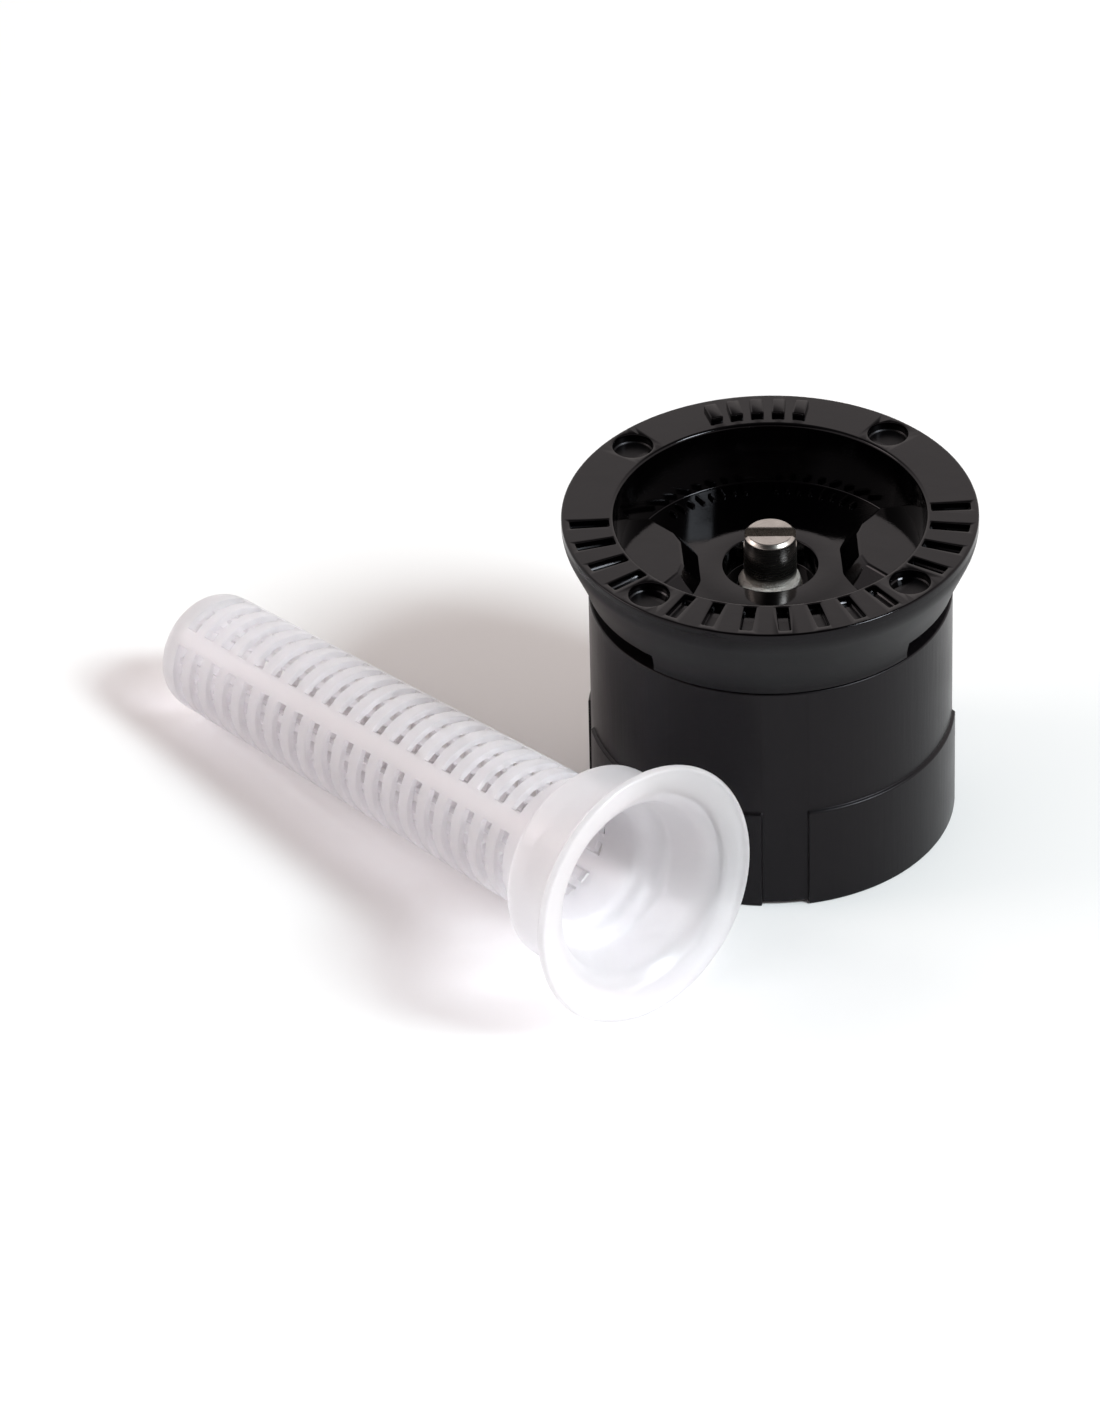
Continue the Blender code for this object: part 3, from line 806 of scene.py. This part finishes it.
def screw_rings(angles):
    """Each point is (radius, drop) first; the last line turns them into places."""
    tip = rounded([(0.0, TIP_DROP, 0), (PLAIN_R - TIP_CHAMFER, TIP_DROP, 0.06),
                   (PLAIN_R, TIP_DROP + TIP_CHAMFER, 0.08), (PLAIN_R, THREAD_START_DROP - 0.05, 0)],
                  closed=False)[1:]
    rings = [[(p.x, p.y) for _ in angles] for p in tip]
    root = PLAIN_R - THREAD_ROOT
    for drop in thread_rows(THREAD_START_DROP, THREAD_END_DROP, SCREW_PITCH / 12):
        fade = smooth_step(drop, THREAD_START_DROP, THREAD_START_DROP + RUN_OUT)
        fade *= 1 - smooth_step(drop, THREAD_END_DROP - RUN_OUT, THREAD_END_DROP)
        rise = (SCREW_THREAD_R - root) * fade
        rings.append([(root + rise * tooth(drop / SCREW_PITCH + a / math.tau), drop) for a in angles])
    neck = rounded([(PLAIN_R, THREAD_END_DROP, 0), (JOURNAL_R, THREAD_END_DROP + 0.05, 0.05),
                    (JOURNAL_R, JOURNAL_END_DROP, 0.15), (0.0, JOURNAL_END_DROP, 0)],
                   closed=False)[:-1]
    rings += [[(p.x, p.y) for _ in angles] for p in neck]
    return [[(r * math.cos(a), r * math.sin(a), TOP - drop) for (r, drop), a in zip(ring, angles)]
            for ring in rings]


def slot_outline(grow):
    return rectangle(4 * PLAIN_R, SLOT_WIDTH + 2 * grow, 0.02)


def make_screw():
    work = bmesh.new()
    skin(work, screw_rings(even_angles(SCREW_STEPS)), cap_start=True, cap_end=True)
    screw = as_object("slotted_screw", work)
    slot = bmesh.new()
    stack(slot, cut_levels(slot_outline, SLOT_DEPTH, TOP - TIP_DROP),
          Matrix.Rotation(SLOT_TURN, 4, "Z"))
    settle(screw, [("DIFFERENCE", as_object("slot", slot))])
    finished(screw, NOZZLE_PLACE, STEEL, "screw", "adjusting_screw")


make_screw()

# %% [markdown]
# The plug hangs from the screw's journal. Its square hub slides in the cap's keyway, so the plug
# can't turn with the screw and only moves up and down. Its cone closes the throat below.

# %% Model the throttle plug
HUB_SIDE = 4.40
HUB_TOP_DROP = 9.20
DISC_TOP_DROP = 13.90
DISC_R = 3.60
DISC_THICK = 0.80
PLUG_STEPS = 96
CONE_END_R = 2.20
CONE_END_DROP = 15.40
JOURNAL_HOLE_R = 1.30
JOURNAL_HOLE_END_DROP = 12.90


def hub_outline(grow):
    return rectangle(HUB_SIDE + 2 * grow, HUB_SIDE + 2 * grow, 0.15)


def make_plug():
    work = bmesh.new()
    disc_top, cone_end = TOP - DISC_TOP_DROP, TOP - CONE_END_DROP
    outline = rounded([(0.0, disc_top, 0), (DISC_R, disc_top, 0.12),
                       (DISC_R, disc_top - DISC_THICK, 0.12), (CONE_END_R, cone_end, 0.20),
                       (0.0, cone_end, 0)], closed=False)[1:-1]
    skin(work, spun(outline, even_angles(PLUG_STEPS)), cap_start=True, cap_end=True)
    plug = as_object("plug_and_hub", work)
    hub_top = TOP - HUB_TOP_DROP
    hub = bmesh.new()
    stack(hub, raised_levels(hub_outline, hub_top - disc_top, disc_top))
    hole = bmesh.new()
    hole_end = TOP - JOURNAL_HOLE_END_DROP
    stack(hole, cut_levels(disc(JOURNAL_HOLE_R), hub_top - hole_end, hub_top))
    settle(plug, [("UNION", as_object("hub", hub)), ("DIFFERENCE", as_object("hole", hole))])
    finished(plug, NOZZLE_PLACE, GREY, "throttle", "throttle_plug")


make_plug()

# %% [markdown]
# ## Filter screen
# The screen is a long tapered tube with a cup and a flared rim. Its wall has two layers: hoops on
# the outside and ribs on the inside. Where the mould shuts off both, a window is left. Cutting
# 320 windows with Booleans would be slow, so the wall is treated as a grid of cells instead, each
# either plastic or air, and a face is made wherever plastic meets air.

# %% Sizes of the screen
CUP_R = 6.33
RIM_BACK_AT = 0.62
DISH = ((4.45, 3.82, 0.30), (4.80, 3.46, 0.25), (5.58, 1.23, 0.50), (6.52, 0.40, 0.45),
        (7.90, 0.0, 0.35))
SHOULDER_AT = 5.75
TUBE_END_AT = 43.10
TUBE_WALL = 0.80
TUBE_HOOP = 0.45
TUBE_START_AT = 6.30
NUB_R = 0.45
NUB_LENGTH = 2.60
TIP_WALL = 1.00
ROW_FIRST = 8.68
ROW_STEP = 1.687
ROW_COUNT = 20
WINDOW_LENGTH = 0.80
WINDOW_TURN = 12.0
RIB_TURN = 8.0
BAR_TURN = 18.0
PARTS_PER_QUARTER = 7
EDGE_WIDTH = 0.075


def tube_radius(at):
    share = (at - TUBE_START_AT) / (TUBE_EDGE_AT - TUBE_START_AT)
    return TUBE_START_R + (TUBE_END_R - TUBE_START_R) * share


def wall_columns():
    """The angles of the grid, and what each column holds: bar, window or rib."""
    degrees, kinds = [], []
    for quarter in range(4):
        at = 45 + 90 * quarter - BAR_TURN / 2
        parts = [("bar", BAR_TURN, 4)]
        for i in range(PARTS_PER_QUARTER):
            parts.append(("window", WINDOW_TURN, 3) if i % 2 == 0 else ("rib", RIB_TURN, 2))
        for kind, width, cells in parts:
            degrees += [at + width * i / cells for i in range(cells)]
            kinds += [kind] * cells
            at += width
    return [math.radians(d) for d in degrees], kinds


COLUMN_ANGLES, COLUMN_KINDS = wall_columns()
ROW_EDGES = [ROW_FIRST + ROW_STEP * i + side * WINDOW_LENGTH / 2
             for i in range(ROW_COUNT) for side in (-1, 1)]
print("wall grid:", len(COLUMN_ANGLES), "columns by", len(ROW_EDGES) - 1, "rows")

# %% The slotted wall
def is_plastic(layer, row, column):
    """Layer 0 is the ribs and layer 1 the hoops. Even rows hold the windows."""
    if layer not in (0, 1):
        return False
    if row in (-1, len(ROW_EDGES) - 1):
        return True
    kind = COLUMN_KINDS[column]
    return kind == "bar" or (kind == "rib" if layer == 0 else row % 2 == 1)


def slotted_wall(work):
    columns, rows = len(COLUMN_ANGLES), len(ROW_EDGES) - 1
    depths = (TUBE_WALL, TUBE_HOOP, 0.0)
    corners = {}

    def corner(level, row, column):
        key = (level, row, column % columns)
        if key not in corners:
            angle, at = COLUMN_ANGLES[key[2]], ROW_EDGES[row]
            radius = tube_radius(at) - depths[level]
            corners[key] = work.verts.new((radius * math.cos(angle), radius * math.sin(angle), at))
        return corners[key]

    def face(*keys):
        work.faces.new([corner(*key) for key in keys])

    for c in range(columns):
        for r in range(rows + 1):
            for v in (0, 1):
                if is_plastic(v, r - 1, c) != is_plastic(v, r, c):
                    face((v, r, c), (v, r, c + 1), (v + 1, r, c + 1), (v + 1, r, c))
        for r in range(rows):
            for v in (0, 1):
                if is_plastic(v, r, c - 1) != is_plastic(v, r, c):
                    face((v, r, c), (v, r + 1, c), (v + 1, r + 1, c), (v + 1, r, c))
            for v in (0, 1, 2):
                if is_plastic(v - 1, r, c) != is_plastic(v, r, c):
                    face((v, r, c), (v, r + 1, c), (v, r + 1, c + 1), (v, r, c + 1))


print("windows:", ROW_COUNT * 4 * (PARTS_PER_QUARTER + 1) // 2)

# %% Cup, rim and tip, joined to the wall
def cup_outline():
    """From the inside of the wall, out round the rim, back to the outside of the wall."""
    start = ROW_EDGES[0]
    return rounded([
        (tube_radius(start) - TUBE_WALL, start, 0), (TUBE_START_R - TUBE_WALL, 5.44, 0.25),
        *DISH, (RIM_R - 0.16, 0.0, 0.10), (RIM_R, 0.28, 0.12),
        (RIM_R, RIM_EDGE_AT, 0.05), (RIM_R - 0.20, RIM_BACK_AT, 0.10),
        (CUP_R, RIM_BACK_AT, 0.25), (CUP_R, SHOULDER_AT, 0.45),
        (TUBE_START_R + 0.25, SHOULDER_AT + 0.10, 0.30), (TUBE_START_R, TUBE_START_AT + 0.1, 0.30),
        (tube_radius(start), start, 0)], closed=False)


def tip_outlines():
    start = ROW_EDGES[-1]
    end = TUBE_END_AT
    outer = rounded([
        (tube_radius(start), start, 0), (TUBE_END_R, TUBE_EDGE_AT, 0.4),
        (TUBE_END_R - 0.28, end - 0.38, 0.5), (TUBE_END_R - 1.3, end, 0.5),
        (NUB_R * 1.3, end, 0.15), (NUB_R, end + NUB_LENGTH, 0.18), (0.0, end + NUB_LENGTH, 0)],
        closed=False)
    inner = rounded([
        (tube_radius(start) - TUBE_WALL, start, 0), (TUBE_END_R - TUBE_WALL, end - TIP_WALL, 0.6),
        (0.0, end - TIP_WALL, 0)], closed=False)
    return outer[:-1], inner[:-1]


def make_screen():
    work = bmesh.new()
    slotted_wall(work)
    skin(work, spun(cup_outline(), COLUMN_ANGLES))
    for outline in tip_outlines():
        skin(work, spun(outline, COLUMN_ANGLES), cap_end=True)
    bmesh.ops.remove_doubles(work, verts=work.verts, dist=0.002)
    screen = as_object("screen_mesh", work)
    soften = screen.modifiers.new("moulded_edges", "BEVEL")
    soften.width = EDGE_WIDTH * MM
    soften.segments = 2
    soften.limit_method = "ANGLE"
    soften.angle_limit = math.radians(50)
    soften.use_clamp_overlap = True
    settle(screen, [])
    finished(screen, SCREEN_PLACE, MILKY, "screen", "filter_screen")


make_screen()

# %% [markdown]
# ## Floor, light and camera
# Small products are usually shown on a white sweep in soft light. A cool softbox on the right is
# the main light and throws the soft shadows to the left. A small warm one on the left brightens
# that side of the screen. A pale room fills the rest and takes the floor to white.
# Black plastic shows its room more than its colour. The room is dark above and behind the camera,
# so the bowl and the front of the skirt mirror darkness, while the pale walls light their edges.

# %% Floor
FLOOR_R = 4000.0


def make_floor():
    work = bmesh.new()
    bmesh.ops.create_circle(work, cap_ends=True, segments=96, radius=FLOOR_R)
    floor = as_object("floor", work)
    finish = Finish("white_sweep")
    tone = finish.noise(finish.place_mm(), 0.01, detail=1.0)
    floor.data.materials.append(finish.plastic({
        "Base Color": finish.blend(tone, (0.90, 0.893, 0.888), (0.92, 0.915, 0.912)),
        "Roughness": 0.9,
        "Specular IOR Level": 0.1}))
    print("floor radius", FLOOR_R * MM, "m")


make_floor()

# %% Lights
SOFTBOX_DISTANCE = 0.90


def softbox(name, azimuth, elevation, side, power, tint):
    """A square light aimed at the model; azimuth 0 is the front and + runs to the right."""
    light = bpy.data.lights.new(name, "AREA")
    light.shape = "SQUARE"
    light.size = side
    light.energy = power
    light.color = tint
    lamp = bpy.data.objects.new(name, light)
    bpy.context.scene.collection.objects.link(lamp)
    a, e = math.radians(azimuth), math.radians(elevation)
    away = Vector((math.sin(a) * math.cos(e), -math.cos(a) * math.cos(e), math.sin(e)))
    lamp.location = away * SOFTBOX_DISTANCE
    lamp.rotation_mode = "QUATERNION"
    lamp.rotation_quaternion = away.to_track_quat("Z", "Y")


softbox("key", azimuth=60, elevation=44, side=0.24, power=7.6, tint=(0.88, 0.97, 1.0))
softbox("left_fill", azimuth=-97, elevation=38, side=0.35, power=1.6, tint=(1.0, 0.88, 0.83))
print("softboxes:", ", ".join(lamp.name for lamp in bpy.data.lights))

# %% Pale room
def white_room():
    """A pale room: bright walls, a dim ceiling, and darkness above and behind the camera."""
    room = Finish("white_room", bpy.data.worlds.new("white_room"))
    way = room.node("ShaderNodeTexCoord", out="Generated")
    height = room.height(way)
    depth = room.node("ShaderNodeSeparateXYZ", None, {"Vector": way}, out="Y")
    walls = room.ramp(height, (0.20, (0.74, 0.68, 0.66)), (0.56, (1.0, 0.925, 0.90)),
                      (0.80, (0.12, 0.110, 0.108)))
    lit = room.ramp((height - depth) * 0.5, (0.50, 1.0), (0.62, 0.05))
    glow = room.node("ShaderNodeMix", {"data_type": "RGBA", "blend_type": "MULTIPLY"},
                     {"Factor": 1.0, 6: walls, 7: lit}, out=2)
    light = room.node("ShaderNodeBackground", None, {"Color": glow, "Strength": 1.40})
    return room.close(light, output="ShaderNodeOutputWorld")


bpy.context.scene.world = white_room()
bpy.context.scene.view_settings.view_transform = "Standard"
print("world:", bpy.context.scene.world.name)

# %% [markdown]
# A long lens from half a metre away keeps the rings of the nozzle close to true ellipses. The
# camera looks down at about 36 degrees and is rolled a little, as if held by hand.

# %% Camera
LOOK_AT = Vector((-1.52, -1.19, 11.61)) * MM
CAMERA_AZIMUTH = math.radians(2.29)
CAMERA_ELEVATION = math.radians(36.35)
CAMERA_ROLL = math.radians(-1.46)
CAMERA_DISTANCE = 0.560
LENS_LENGTH = 233.2
SENSOR_WIDTH = 36.0


def make_camera():
    ahead = Vector((math.sin(CAMERA_AZIMUTH) * math.cos(CAMERA_ELEVATION),
                    math.cos(CAMERA_AZIMUTH) * math.cos(CAMERA_ELEVATION),
                    -math.sin(CAMERA_ELEVATION)))
    right = ahead.cross(Vector((0.0, 0.0, 1.0))).normalized()
    up = right.cross(ahead)
    tilted_right = right * math.cos(CAMERA_ROLL) + up * math.sin(CAMERA_ROLL)
    tilted_up = up * math.cos(CAMERA_ROLL) - right * math.sin(CAMERA_ROLL)
    facing = Matrix((tilted_right, tilted_up, -ahead)).transposed().to_4x4()
    lens = bpy.data.cameras.new("camera")
    lens.lens = LENS_LENGTH
    lens.sensor_width = SENSOR_WIDTH
    lens.clip_start = 0.01
    lens.clip_end = 20.0
    camera = bpy.data.objects.new("camera", lens)
    camera.matrix_world = Matrix.Translation(LOOK_AT - ahead * CAMERA_DISTANCE) @ facing
    bpy.context.scene.collection.objects.link(camera)
    bpy.context.scene.camera = camera
    print("camera at", [round(v, 4) for v in camera.matrix_world.translation])


make_camera()
